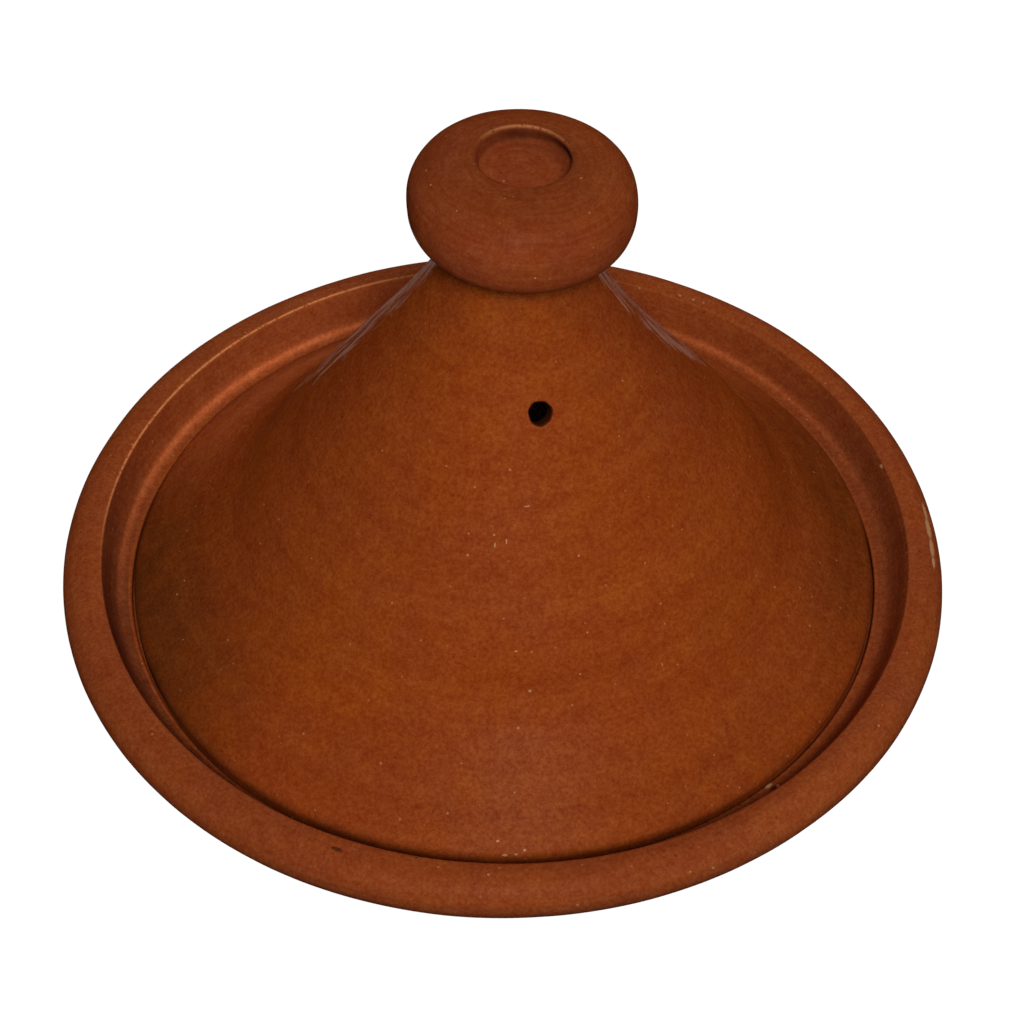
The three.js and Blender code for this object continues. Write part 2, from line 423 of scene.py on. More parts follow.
DISH_MARKS = [
    Mark(-76.0, -118.6, 60.8, 2.1, 0.7, 0.05, "dark"),
    Mark(63.6, -110.9, 45.7, 1.6, 0.7, -0.35, "pale"),
    Mark(64.8, -112.2, 45.5, 1.5, 0.8, 0.3, "dark"),
    Mark(66.4, -111.6, 45.6, 0.7, 0.6, -0.2, "pale"),
    Mark(136.4, 7.6, 57.6, 1.1, 0.7, 0.3, "pale"),
    Mark(144.8, -16.5, 57.8, 4.0, 0.8, 0.12, "pale"),
    Mark(143.4, -24.5, 58.0, 5.5, 1.1, 0.15, "pale"),
    Mark(141.7, -33.5, 58.0, 5.0, 1.0, 0.15, "pale"),
    Mark(140.2, -40.0, 58.0, 3.0, 0.75, 0.12, "pale"),
    Mark(89.0, 106.4, 59.7, 1.0, 0.6, 0.2, "pale"),
    Mark(93.1, 103.2, 59.7, 0.9, 0.6, 0.2, "pale"),
]

CONE_MARKS = [
    Mark(-23.0, -59.1, 118.2, 0.45, 0.4, 0, "pale"),
    Mark(-7.6, -70.9, 107.9, 0.4, 0.4, 0, "pale"),
    Mark(-12.2, -80.0, 94.2, 0.7, 0.35, 0, "pale"),
    Mark(-9.4, -87.6, 83.3, 0.45, 0.45, 0, "pale"),
    Mark(4.3, -65.3, 116.6, 0.4, 0.35, 0, "pale"),
    Mark(15.7, -73.1, 104.0, 0.35, 0.5, 0, "pale"),
    Mark(-14.6, -59.6, 121.5, 0.25, 1.0, 0, "pale"),
    Mark(-11.0, -59.6, 122.4, 0.25, 1.0, 0, "pale"),
    Mark(-3.3, -54.7, 131.3, 1.3, 0.4, 0, "pale"),
    Mark(33.6, -83.5, 81.1, 0.4, 0.9, 0, "pale"),
    Mark(-26.1, -118.9, 51.5, 0.5, 0.4, 0, "pale"),
    Mark(-24.7, -122.7, 48.8, 0.8, 0.4, 0, "pale"),
    Mark(-21.2, -123.1, 48.8, 0.6, 0.4, 0, "pale"),
    Mark(-18.3, -122.6, 49.6, 0.5, 0.4, 0, "pale"),
]

KNOB_MARKS = [
    Mark(-2.6, -17.1, 221.7, 0.3, 0.3, 0, "pale"),
    Mark(-3.8, -21.6, 220.8, 0.25, 0.25, 0, "pale"),
    Mark(-5.6, -24.8, 219.2, 0.3, 0.3, 0, "pale"),
    Mark(2.7, -34.7, 205.6, 0.35, 0.35, 0, "pale"),
    Mark(-16.7, -16.6, 219.2, 0.3, 0.3, 0, "pale"),
    Mark(-22.0, -3.7, 219.4, 0.3, 0.3, 0, "pale"),
]

# Where the dish's mesh is finer for its marks: the middle and half width in degrees, and the columns
FINER_TURNS = [(31.5, 2.5, 40), (74, 10, 40), (139, 2, 20)]


def dents(points, marks):
    """How far the marks are sunk into the clay at points of the finished shape."""
    sunk = np.zeros(points.shape[:-1])
    for mark in marks:
        away = points - np.array((mark.x, mark.y, mark.z)) * MM
        turn = math.atan2(mark.x, -mark.y)
        lengthwise = away[..., 0] * math.cos(turn) + away[..., 1] * math.sin(turn)
        across = np.maximum((away ** 2).sum(axis=-1) - lengthwise ** 2, 0)
        reach = (lengthwise / mark.length) ** 2 + across / mark.width ** 2
        sunk += mark.depth * MM * np.exp(-reach / MM ** 2)
    return sunk


def relief(points, course, rings):
    """How far the clay stands out from its ideal surface: slow lumps, dimples and throwing rings."""
    lumps = LUMP_HEIGHT * unevenness(points, LUMP_SIZE)
    dimples = DIMPLE_HEIGHT * unevenness(points, DIMPLE_SIZE)
    wander = RING_WANDER * unevenness(points, WANDER_SIZE)
    phase = 2 * math.pi * course / RING_PITCH + turn_of(points) + wander
    strength = RING_EVENNESS + (1 - RING_EVENNESS) * np.sin(course / RING_PITCH * RING_BEAT)
    return lumps + dimples + rings * strength * np.sin(phase)


class Skin:
    """A piece's surface while it is made: its points, their places on an ideal pot, their course along the
    section, and its faces."""

    def __init__(self):
        self.points = np.empty((0, 3))
        self.course = np.empty(0)
        self.ideal = np.empty((0, 3))
        self.faces = []

    def add(self, points, course, ideal):
        """Adds points and gives back their numbers in the same arrangement."""
        first = len(self.points)
        shape = points.shape[:-1]
        self.points = np.concatenate((self.points, points.reshape(-1, 3)))
        self.ideal = np.concatenate((self.ideal, ideal.reshape(-1, 3)))
        self.course = np.concatenate((self.course, np.broadcast_to(course, shape).ravel()))
        return np.arange(first, len(self.points)).reshape(shape)

    def join(self, rows):
        """Faces between rows of points that each run round in a ring."""
        ahead = np.roll(rows, -1, axis=1)
        quads = np.stack((rows[:-1], ahead[:-1], ahead[1:], rows[1:]), axis=-1)
        self.faces += quads.reshape(-1, 4).tolist()

    def close(self, tip, ring):
        """A fan of faces from one point to a ring."""
        self.faces += [(tip, a, b) for a, b in zip(ring.tolist(), np.roll(ring, -1).tolist())]

    def section(self):
        """The radius and height of each point on its ideal section."""
        return np.stack((np.hypot(self.ideal[:, 0], self.ideal[:, 1]), self.ideal[:, 2]), axis=-1)


def clay_points(surface, normal, course, rings, marks, shape):
    """Points of the finished clay over an ideal surface."""
    height = relief(surface, course, rings) - dents(shape(surface), marks)
    return shape(surface + normal * height[..., None])


def turned(points, turn, rings, marks, shape):
    """A closed skin of revolution from an outline that starts and ends on the axis, and its grid."""
    skin = Skin()
    course = course_of(points)
    surface = swung(points[1:-1, None], turn[None])
    normal = swung(outward(points)[1:-1, None], turn[None])
    clay = clay_points(surface, normal, course[1:-1, None], rings, marks, shape)
    grid = skin.add(clay, course[1:-1, None], surface)
    ends = swung(points[[0, -1]], np.zeros(2))
    first, last = skin.add(shape(ends), course[[0, -1]], ends)
    skin.join(grid)
    skin.close(int(first), grid[0, ::-1])
    skin.close(int(last), grid[-1])
    return skin, grid


# How far the rim is out of round: waves round it, with their size and phase
RIM_SWELLS = [
    (0, -0.29 * MM, 0),
    (1, 0.59 * MM, -0.41),
    (2, 0.27 * MM, 1.67),
    (3, 0.27 * MM, 2.07),
    (4, 0.39 * MM, 2.96),
]

# How far the gallery's wall is shifted and shrunk, how far the rim falls to +X, and its soft inner edge
INNER_SHIFT = 0.8 * MM
INNER_SHRINK = 0.4 * MM
RIM_FALL = 0.0044
SOFT_EDGE = 4.0 * MM
SOFT_DROP = 0.4 * SOFT_EDGE
SOFT_SIDE = 85
SOFT_SPREAD = 0.4
SOFT_LEFT = 0.4


def dish_shape(points):
    """The dish's sag: its rim is a little out of round, lower towards +X, and softer inside on that side."""
    height = points[..., 2]
    radius = np.hypot(points[..., 0], points[..., 1]) + OFF_AXIS
    turn = turn_of(points)
    lift = fade(height, 0, DISH_HEIGHT) ** 2
    wall = fade(height, SHELF_Z, DISH_HEIGHT)
    outer = fade(radius, RIM_EDGE_RADIUS, RIM_RADIUS)
    outer_swell = sum(size * np.cos(order * turn - phase) for order, size, phase in RIM_SWELLS)
    inner_swell = INNER_SHIFT * np.sin(turn) - INNER_SHRINK
    swell = lift * outer * outer_swell + wall * (1 - outer) * inner_swell
    section = np.stack((radius, height), axis=-1)
    edge = near(section, (RIM_EDGE_RADIUS, DISH_HEIGHT), SOFT_EDGE)
    soft = np.clip(np.cos(turn - math.radians(SOFT_SIDE)) + SOFT_SPREAD, 0, 1)
    soft += SOFT_LEFT * towards(turn, -SOFT_SIDE)
    shaped = points.copy()
    shaped[..., 0] += swell * points[..., 0] / radius
    shaped[..., 1] += swell * points[..., 1] / radius
    shaped[..., 2] -= lift * RIM_FALL * points[..., 0] + SOFT_DROP * edge * soft
    shaped[..., 2] = np.maximum(shaped[..., 2], 0)
    return shaped


def lean_at(rise):
    """How far the lid's axis lies towards +X at a height above its arris, with a swell at the waist."""
    low = np.clip(rise / SWELL_HEIGHT, 0, 1)
    return rise * math.tan(LID_LEAN) + WAIST_SWELL * np.sin(math.pi * low) ** 2


def lid_shape(points):
    """The lid's lean: each course above its edge lies further to +X, and the knob tilts with the neck."""
    across = points[..., 0]
    height = points[..., 2] - ARRIS_Z
    rise = np.clip(height, 0, CONE_HEIGHT)
    beyond = height - rise
    tilt = NECK_TILT * (rise / CONE_HEIGHT) ** TILT_ONSET
    shaped = points.copy()
    shaped[..., 0] = lean_at(rise) + across * np.cos(tilt) + beyond * np.sin(tilt)
    shaped[..., 2] = ARRIS_Z + rise - across * np.sin(tilt) + beyond * np.cos(tilt)
    return shaped


# The knob's own unevenness: lengths, sides in degrees, and shares of its height
UNDERCUT = 2.0 * MM
UNDERCUT_REACH = 2.2 * MM
UNDERCUT_DEPTH = 0.75 * RECESS_DEPTH
UNDERCUT_SIDE = 80
SHOULDER_SWELL = 0.8 * MM
SHOULDER_LIFT = 0.7 * MM
SHOULDER_SIDE = 100
SHOULDER_RISE = (3 / 11, 8 / 11)
SHOULDER_REACH = (17 * MM, 26 * MM)
FLANK_DENT = 0.8 * MM
FLANK_SIDE = -100
FLANK_RISE = 0.3
FLANK_SPREAD = 0.2
SET_BACK_REACH = (20 * MM, 15 * MM)


def knob_shape(points):
    """The knob's unevenness, then the lid's lean: a full right shoulder, and an undercut recess set back."""
    radius = np.hypot(points[..., 0], points[..., 1])
    turn = turn_of(points)
    rise = (points[..., 2] - KNOB_Z) / KNOB_HEIGHT
    section = np.stack((radius, points[..., 2]), axis=-1)
    corner = (RECESS_RADIUS - RECESS_SLOPE, CROWN_Z - UNDERCUT_DEPTH)
    shoulder = fade(rise, *SHOULDER_RISE) * fade(radius, *SHOULDER_REACH) * towards(turn, SHOULDER_SIDE) ** 2
    flank = np.exp(-((rise - FLANK_RISE) / FLANK_SPREAD) ** 2) * towards(turn, FLANK_SIDE) ** 2
    swell = UNDERCUT * near(section, corner, UNDERCUT_REACH) * towards(turn, UNDERCUT_SIDE)
    swell += SHOULDER_SWELL * shoulder - FLANK_DENT * flank
    set_back = RECESS_SET_BACK * fade(radius, *SET_BACK_REACH) * (rise > 0.5)
    shaped = points.copy()
    shaped[..., 0] += swell * np.sin(turn)
    shaped[..., 1] += set_back - swell * np.cos(turn)
    shaped[..., 2] += SHOULDER_LIFT * shoulder
    return lid_shape(shaped)


class Wall:
    """One face of the cone's wall: points on it at distances across from the vent's side and heights."""

    def __init__(self, line):
        order = np.argsort(line[:, 1])
        self.height = line[order, 1]
        self.radius = line[order, 0]
        self.normal = outward(line)[order]

    def at(self, across, height):
        radius = np.interp(height, self.height, self.radius)
        turn = np.arcsin(np.clip(across / radius, -1, 1))
        profile = np.stack((radius, height), axis=-1)
        normal = np.stack([np.interp(height, self.height, self.normal[:, i]) for i in (0, 1)], axis=-1)
        return swung(profile, turn), swung(normal, turn)


def row_near(points, line, height):
    """The row of the grid on one face of the wall that is nearest a height."""
    inner = points[1:-1]
    on_line = np.isin(inner[:, 1], line[:, 1]) & np.isin(inner[:, 0], line[:, 0])
    return int(np.argmin(np.where(on_line, abs(inner[:, 1] - height), 1)))


def patch_loop(grid, row, outer):
    """The ring of grid points round the vent's patch, from its lower left corner, seen from outside."""
    columns = np.arange(-VENT_COLUMNS, VENT_COLUMNS + 1)
    rows = np.arange(-VENT_ROWS, VENT_ROWS + 1) * (1 if outer else -1) + row
    low = [grid[rows[0], c] for c in columns]
    right = [grid[r, columns[-1]] for r in rows]
    high = [grid[rows[-1], c] for c in columns[::-1]]
    left = [grid[r, columns[0]] for r in rows[::-1]]
    return np.array(low[:-1] + right[:-1] + high[:-1] + left[:-1])


def cut_patch(skin, grid, row):
    """Takes the faces inside the vent's patch out of a skin."""
    rows = np.arange(row - VENT_ROWS, row + VENT_ROWS + 1)
    columns = np.arange(-VENT_COLUMNS, VENT_COLUMNS + 1)
    inside = set(grid[np.ix_(rows, columns)].ravel().tolist())
    skin.faces = [face for face in skin.faces if not inside.issuperset(face)]


def vent_mouth(angle, level, middle, radius):
    """The vent's ragged mouth in one face of the wall, as distances across and heights."""
    ragged = 1 + 0.025 * np.sin(3 * angle + 1) + 0.02 * np.sin(7 * angle)
    across = radius * ragged * np.cos(angle)
    height = middle + VENT_STRETCH * radius * ragged * np.sin(angle) * level
    return np.stack((across, height), axis=-1)


def vent_rings(wall, start, end, angle):
    """Rings of clay on one face, from the edge of the patch to the mouth, where they rise to a burr."""
    burr = VENT_BURR * (0.5 + 0.5 * np.sin(2 * angle + 4) + 0.3 * np.sin(5 * angle))
    course = np.full(len(angle), VENT_Z)
    rings = []
    for share in np.linspace(0, 1, VENT_RINGS + 1)[1:] ** VENT_CROWDING:
        place = start + (end - start) * share
        surface, out = wall.at(place[:, 0], place[:, 1])
        raised = surface + out * (burr * share ** BURR_ONSET)[:, None]
        rings.append((clay_points(raised, out, course, 0, [], lid_shape), surface))
    return rings


def vent_hole(lip, bottom, centre, normal):
    """Rings of the hole's own wall: three round its lip, and three from there to the inner face."""
    inward = (centre - lip) * VENT_LIP / (VENT_RADIUS + VENT_LIP)
    rings = []
    for shrink, depth in ((0.35, 0.12), (0.75, 0.45), (1.0, 1.0)):
        rings.append(lip + inward * shrink - normal * depth * VENT_LIP)
    top = rings[-1]
    for share in (0.25, 0.5, 0.75):
        rings.append(top + (bottom - top) * share)
    return rings


def poke_vent(skin, grid, points, line, hollow):
    """Opens the vent square to the cone's wall: rings of clay on each face, joined by the hole's own wall."""
    outer = Wall(line)
    centre, normal = outer.at(np.array(0.0), np.array(VENT_Z))
    level = -normal[1]
    through = VENT_Z - LID_WALL * normal[2]
    outer_row = row_near(points, line, VENT_Z)
    inner_row = row_near(points, hollow, through)
    outer_loop = patch_loop(grid, outer_row, True)
    inner_loop = patch_loop(grid, inner_row, False)
    cut_patch(skin, grid, outer_row)
    cut_patch(skin, grid, inner_row)
    outer_edge = skin.ideal[outer_loop][:, [0, 2]]
    inner_edge = skin.ideal[inner_loop][:, [0, 2]]
    angle = np.arctan2((outer_edge[:, 1] - VENT_Z) / level, outer_edge[:, 0])
    outer_mouth = vent_mouth(angle, level, VENT_Z, VENT_RADIUS + VENT_LIP)
    inner_mouth = vent_mouth(angle, level, through, VENT_RADIUS)
    outside = vent_rings(outer, outer_edge, outer_mouth, angle)
    inside = vent_rings(Wall(hollow), inner_edge, inner_mouth, angle)
    numbers = [outer_loop]
    numbers += [skin.add(clay, 0, surface) for clay, surface in outside]
    for ring in vent_hole(outside[-1][1], inside[-1][1], centre, normal):
        numbers.append(skin.add(lid_shape(ring), IN_VENT, ring))
    numbers += [skin.add(clay, 0, surface) for clay, surface in inside[::-1]]
    numbers.append(inner_loop)
    skin.join(np.array(numbers))


# What is kept on the points of a mesh for its clay, with masks of painted shadow, painted highlight, painted
# shade and painted light; IN_VENT is the course of points in the vent's hole
TRAITS = ("course", "painted_shadow", "painted_highlight", "raw", "painted_shade", "gloss", "painted_light")
IN_VENT = -1


def piece(name, skin, body, node, material, traits):
    """A smooth piece made of a skin, which rides on a body in place of a CAD node."""
    mesh = bpy.data.meshes.new(name)
    mesh.from_pydata(skin.points, (), skin.faces)
    mesh.shade_smooth()
    values = {"course": skin.course, **traits}
    for trait in TRAITS:
        attribute = mesh.attributes.new(trait, "FLOAT", "POINT")
        if trait in values:
            attribute.data.foreach_set("value", values[trait])
    mesh.materials.append(material)
    obj = bpy.data.objects.new(name, mesh)
    bpy.context.scene.collection.objects.link(obj)
    loose = bmesh.new()
    loose.from_mesh(mesh)
    bmesh.ops.delete(loose, geom=[v for v in loose.verts if not v.link_faces], context="VERTS")
    loose.to_mesh(mesh)
    loose.free()
    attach(obj, body)
    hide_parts(node)


# Where the dish's clay differs
GLINT_INSET = 0.25 * MM
GLINT_REACH = 0.35 * MM
GLINT_SIDE = -141
GLINT_SPREAD = 37
GLINT_SHARPNESS = 6
RAW_FADE = 12 * MM
RAW_FOOT = 1.5 * MM
ROLL_SHADE_Z = DISH_HEIGHT - 0.6 * RIM_DROP
ROLL_SHADE_FADE = 8 * MM
ROLL_INSET = 2 * MM
GALLERY_SHADE_SIDE = 85
GALLERY_SHADE_SPREAD = 33
FOOT_LINE = 0.2 * GALLERY_FILLET
FOOT_LINE_REACH = 1.3 * MM


def dish_traits(skin):
    """The dish has painted shade low on its rim and at its gallery's sides, a painted highlight on its inner
    edge at the back left, and painted light at its gallery's foot at the back.
    """
    section = skin.section()
    radius, height = section.T
    turn = turn_of(skin.ideal)
    # Painted highlight along the rim's inner edge, strongest at the back left.
    edge = near(section, (RIM_EDGE_RADIUS + GLINT_INSET, DISH_HEIGHT - GLINT_INSET), GLINT_REACH)
    painted_highlight = edge * (0.06 + 0.94 * bell(turn, GLINT_SIDE, GLINT_SPREAD, GLINT_SHARPNESS))
    under = fade(height, GIRTH_Z, GIRTH_Z - RAW_FADE)
    raw = under * (radius > GALLERY_RADIUS) + (height < RAW_FOOT)
    # Painted shade on the lower part of the rim's roll, which faces down, and on the gallery's walls at the
    # sides.
    low = fade(height, ROLL_SHADE_Z, ROLL_SHADE_Z - ROLL_SHADE_FADE)
    gallery = (radius < RIM_EDGE_RADIUS) & (height > SHELF_Z)
    painted_shade = 0.75 * low * (radius > RIM_EDGE_RADIUS + ROLL_INSET)
    painted_shade += 0.75 * gallery * bell(turn, -GALLERY_SHADE_SIDE, GALLERY_SHADE_SPREAD)
    painted_shade += 0.35 * gallery * bell(turn, GALLERY_SHADE_SIDE, GALLERY_SHADE_SPREAD)
    # Painted light on the gallery's foot and wall at the back, where light bounces inside the gallery.
    behind = np.clip(0.15 - np.cos(turn), 0, 1)
    foot = near(section, (GALLERY_RADIUS - FOOT_LINE, SHELF_Z + FOOT_LINE), FOOT_LINE_REACH)
    painted_light = behind * np.where(turn < 0, 0.85 * foot + 0.14 * gallery, 0.65 * foot)
    return {
        "painted_highlight": painted_highlight,
        "raw": np.clip(raw, 0, 1),
        "painted_shade": painted_shade,
        "painted_light": np.clip(painted_light, 0, 1),
    }


def make_dish():
    skin, _ = turned(dish_outline(), turns(AROUND, *FINER_TURNS), DISH_RINGS, DISH_MARKS, dish_shape)
    material = Clay("dish_clay", DISH_LOOK).material()
    piece("dish", skin, "dish", "base_dish", material, dish_traits(skin))


# Where the cone's clay differs. The brim's heights are above its arris, and GLOSS_Z is above the foot.
BRIM_SHADE_TOP = 19 * MM
BRIM_LIGHT_TOP = 22 * MM
BRIM_FADE = 6 * MM
NECK_SHADE = 14 * MM
NECK_SHADOW = 1.6 * MM
EDGE_SHADOW = 2.3 * MM
EDGE_SHADOW_DROP = 1 * MM
SEAT_RAW = 1 * MM
GLOSS_Z = 100 * MM
GLOSS_TILT = 0.1
GLOSS_RISE = 80 * MM
GLOSS_FALL = 8 * MM


def cone_shade(rise, turn):
    """How much painted shade the cone's clay has: darker on its brim, more so at the sides, and a painted
    shadow a little under the knob.
    """
    brim = 1 / (1 + np.exp((rise - BRIM_SHADE_TOP) / BRIM_FADE))
    # Painted shadow of the knob on the neck.
    neck = np.exp(-np.clip(CONE_HEIGHT - rise, 0, 1) / NECK_SHADE)
    # Painted shade on the flanks, where the light falls off.
    side = fade(np.abs(np.sin(turn)), 0.8, 1.0) * np.where(turn < 0, 1.0, 0.7)
    return np.clip(brim * (0.22 * towards(turn, 45) + side) + 0.5 * neck, 0, 1)


def cone_traits(skin, line):
    """The cone has painted shadow under the knob, at its edge and in the vent, painted shade and light on its
    brim, and gloss on its upper flanks.
    """
    section = skin.section()
    radius, height = section.T
    rise = height - ARRIS_Z
    turn = turn_of(skin.ideal)
    edge = near(section, (LID_RADIUS, ARRIS_Z - EDGE_SHADOW_DROP), EDGE_SHADOW)
    # Painted shadow: a dark line under the knob and a dark vent hole.
    painted_shadow = np.exp(-np.clip(NECK_Z - height, 0, 1) / NECK_SHADOW) + (skin.course == IN_VENT)
    # Painted shade at the lid's edge, more on its left side.
    painted_shadow += edge * (0.25 + 0.4 * towards(turn, -90))
    wall_middle = np.interp(height, line[:, 1], line[:, 0]) - LID_WALL / 2
    raw = (radius < wall_middle) | (height < SEAT_Z + SEAT_RAW)
    above = skin.points[:, 2] - (GLOSS_Z + GLOSS_TILT * skin.points[:, 0])
    gloss = np.where(above > 0, above / GLOSS_RISE, above / GLOSS_FALL)
    brim = fade(rise, BRIM_LIGHT_TOP, BRIM_LIGHT_TOP - BRIM_FADE)
    return {
        "painted_shadow": np.clip(painted_shadow, 0, 1),
        "raw": raw.astype(float),
        "painted_shade": cone_shade(rise, turn),
        "gloss": np.clip(gloss, -1, 1),
        # Painted light on the brim at the back.
        "painted_light": 0.4 * brim * fade(-np.cos(turn), 0.35, 0.85),
    }


def make_cone():
    runs = cone_runs()
    points = outline(*runs)
    skin, grid = turned(points, turns(AROUND), LID_RINGS, CONE_MARKS, lid_shape)
    poke_vent(skin, grid, points, runs[OUTER_FACE], runs[INNER_FACE])
    material = Clay("cone_clay", CONE_LOOK).material()
    piece("cone", skin, "lid", "lid_cone", material, cone_traits(skin, runs[OUTER_FACE]))


# Where the knob's clay differs
RECESS_SHADOW = 2.6 * MM
RECESS_FLOOR_SHADOW = 9 * MM
SEAM_SHADOW = 1.2 * MM
LIP_INSET = 0.3 * MM
LIP_GLINT = 0.6 * MM
CROWN_SHADE_Z = KNOB_Z + KNOB_HEIGHT * 2 / 3
KNOB_GLOSS_FADE = 5 * MM


def knob_traits(skin):
    """The knob has painted shade in its recess, a painted shadow at its seam, a painted glint on the recess's
    far lip, and painted shade on its crown.
    """
    section = skin.section()
    radius, height = section.T
    turn = turn_of(skin.ideal)
    # Painted shade in the recess: on its wall, darkest at the far right, and a little on its floor.
    shaded = np.clip(0.55 - 0.65 * np.cos(turn + math.radians(50)), 0, 1)
    wall_middle = (RECESS_RADIUS - RECESS_SLOPE / 2, RECESS_Z + RECESS_DEPTH / 2)
    painted_shadow = near(section, wall_middle, RECESS_SHADOW) * shaded
    painted_shadow += 0.1 * near(section, (0, RECESS_Z), RECESS_FLOOR_SHADOW) * (height > KNOB_GIRTH_Z)
    # Painted shadow where the knob sits on the neck.
    painted_shadow += np.exp(-np.clip(height - KNOB_Z, 0, 1) / SEAM_SHADOW)
    # Painted glint on the recess's lip, at its far side.
    lip = near(section, (RECESS_RADIUS + LIP_INSET, CROWN_Z), LIP_GLINT)
    gloss = (KNOB_GIRTH_Z - height) / KNOB_GLOSS_FADE
    return {
        "painted_shadow": np.clip(painted_shadow, 0, 1),
        "painted_highlight": lip * towards(turn, 165) ** 2,
        # Painted shade on the knob's crown, round the recess.
        "painted_shade": 0.45 * fade(height, CROWN_SHADE_Z, CROWN_Z) * (radius > RECESS_RADIUS),
        "gloss": np.clip(gloss, -1, 1),
    }


def make_knob():
    skin, _ = turned(knob_outline(), turns(KNOB_AROUND), LID_RINGS, [], knob_shape)
    material = Clay("knob_clay", KNOB_LOOK).material()
    piece("knob", skin, "lid", "lid_knob", material, knob_traits(skin))


class Shader:
    """The nodes of a material or a world while they are linked up."""

    def __init__(self, owner):
        self.owner = owner
        owner.use_nodes = True
        self.tree = owner.node_tree
        self.tree.nodes.clear()

    def add(self, kind, sockets=None, **settings):
        """A node with these settings; each of its sockets takes a value or another node's output."""
        node = self.tree.nodes.new("ShaderNode" + kind)
        for setting, value in settings.items():
            setattr(node, setting, value)
        for socket, value in (sockets or {}).items():
            if isinstance(value, bpy.types.NodeSocket):
                self.tree.links.new(value, node.inputs[socket])
            else:
                node.inputs[socket].default_value = value
        return node

    def vector(self, operation, sockets):
        return self.add("VectorMath", sockets, operation=operation).outputs[0]

    def maths(self, operation, a, b=0.0, clamp=False):
        return self.add("Math", {0: a, 1: b}, operation=operation, use_clamp=clamp).outputs[0]

    def ramp(self, value, low, high, start=0.0, end=1.0):
        """A value between low and high taken smoothly to one between start and end."""
        sockets = {"Value": value, "From Min": low, "From Max": high, "To Min": start, "To Max": end}
        return self.add("MapRange", sockets, interpolation_type="SMOOTHSTEP").outputs[0]

    def vary(self, pattern, share, spread=0.25):
        """A factor that a pattern takes up and down from 1 by a share."""
        return self.ramp(pattern, 0.5 - spread, 0.5 + spread, 1 - share, 1 + share)

    def blend(self, factor, a, b, mode="MIX"):
        node = self.add("Mix", {0: factor, 6: a, 7: b}, data_type="RGBA", blend_type=mode)
        return node.outputs[2]

    def seen_directly(self):
        """1 for what the camera sees, directly, in a mirror or through glass."""
        path = self.add("LightPath").outputs
        seen = self.maths("MAXIMUM", path["Is Camera Ray"], path["Is Glossy Ray"])
        return self.maths("MAXIMUM", seen, path["Is Transmission Ray"])


# Sizes of the patterns in the clay; streaks, bands and strokes are drawn out round the pot
CLOUD = 60 * MM
PATCH = 11 * MM
MOTTLE = 4.5 * MM
GRAIN = 1.3 * MM
DUST = 0.45 * MM
GLINT_BREAKUP = 1.2 * MM
GRIT = 0.7 * MM
FLECK_CELL = 3.6 * MM
PIT_CELL = 3.1 * MM
STREAK = 1.1 * MM
BAND = 7 * MM
STROKE = 22 * MM

# How far they stand out or in
GRAIN_HEIGHT = 0.012 * MM
STREAK_HEIGHT = 0.004 * MM
FLECK_HEIGHT = 0.02 * MM
PIT_DEPTH = 0.05 * MM

# What all the clay has in common
PALE_CLAY = (0.52, 0.27, 0.14, 1)
# The next two are colours of painted light and painted highlights; DARK_CLAY is also the colour of painted
# shadows.
PAINTED_LIGHT_CLAY = (0.55, 0.125, 0.04, 1)
HIGHLIGHT_CLAY = (0.66, 0.23, 0.085, 1)
DARK_CLAY = (0.03, 0.008, 0.004, 1)
CLAY_ROUGHNESS = 0.45
COAT_ROUGHNESS = 0.42
COAT_IOR = 1.18
COAT_TINT = (0.85, 1.0, 0.6, 1)

# What sets the clay of one piece apart: its tones, the darkest of them for painted shade, its satin, its
# gloss at grazing angles,
# how strong its grain and its brushed streaks are, and its marks.
Look = namedtuple("Look", "ochre red smoky satin gloss grain brushed marks")

DISH_LOOK = Look(
    ochre=(0.262, 0.052, 0.011, 1),
    red=(0.23, 0.044, 0.0125, 1),
    smoky=(0.1, 0.024, 0.0095, 1),
    satin=0.15,
    gloss=0.0,
    grain=0.15,
    brushed=0.035,
    marks=DISH_MARKS,
)

CONE_LOOK = Look(
    ochre=(0.278, 0.049, 0.0058, 1),
    red=(0.249, 0.042, 0.0085, 1),
    smoky=(0.115, 0.025, 0.0045, 1),
    satin=0.22,
    gloss=0.75,
    grain=0.16,
    brushed=0.025,
    marks=CONE_MARKS,
)

KNOB_LOOK = Look(
    ochre=(0.252, 0.049, 0.0105, 1),
    red=(0.22, 0.04, 0.0125, 1),
    smoky=(0.14, 0.029, 0.005, 1),
    satin=0.15,
    gloss=0.35,
    grain=0.11,
    brushed=0.08,
    marks=KNOB_MARKS,
)


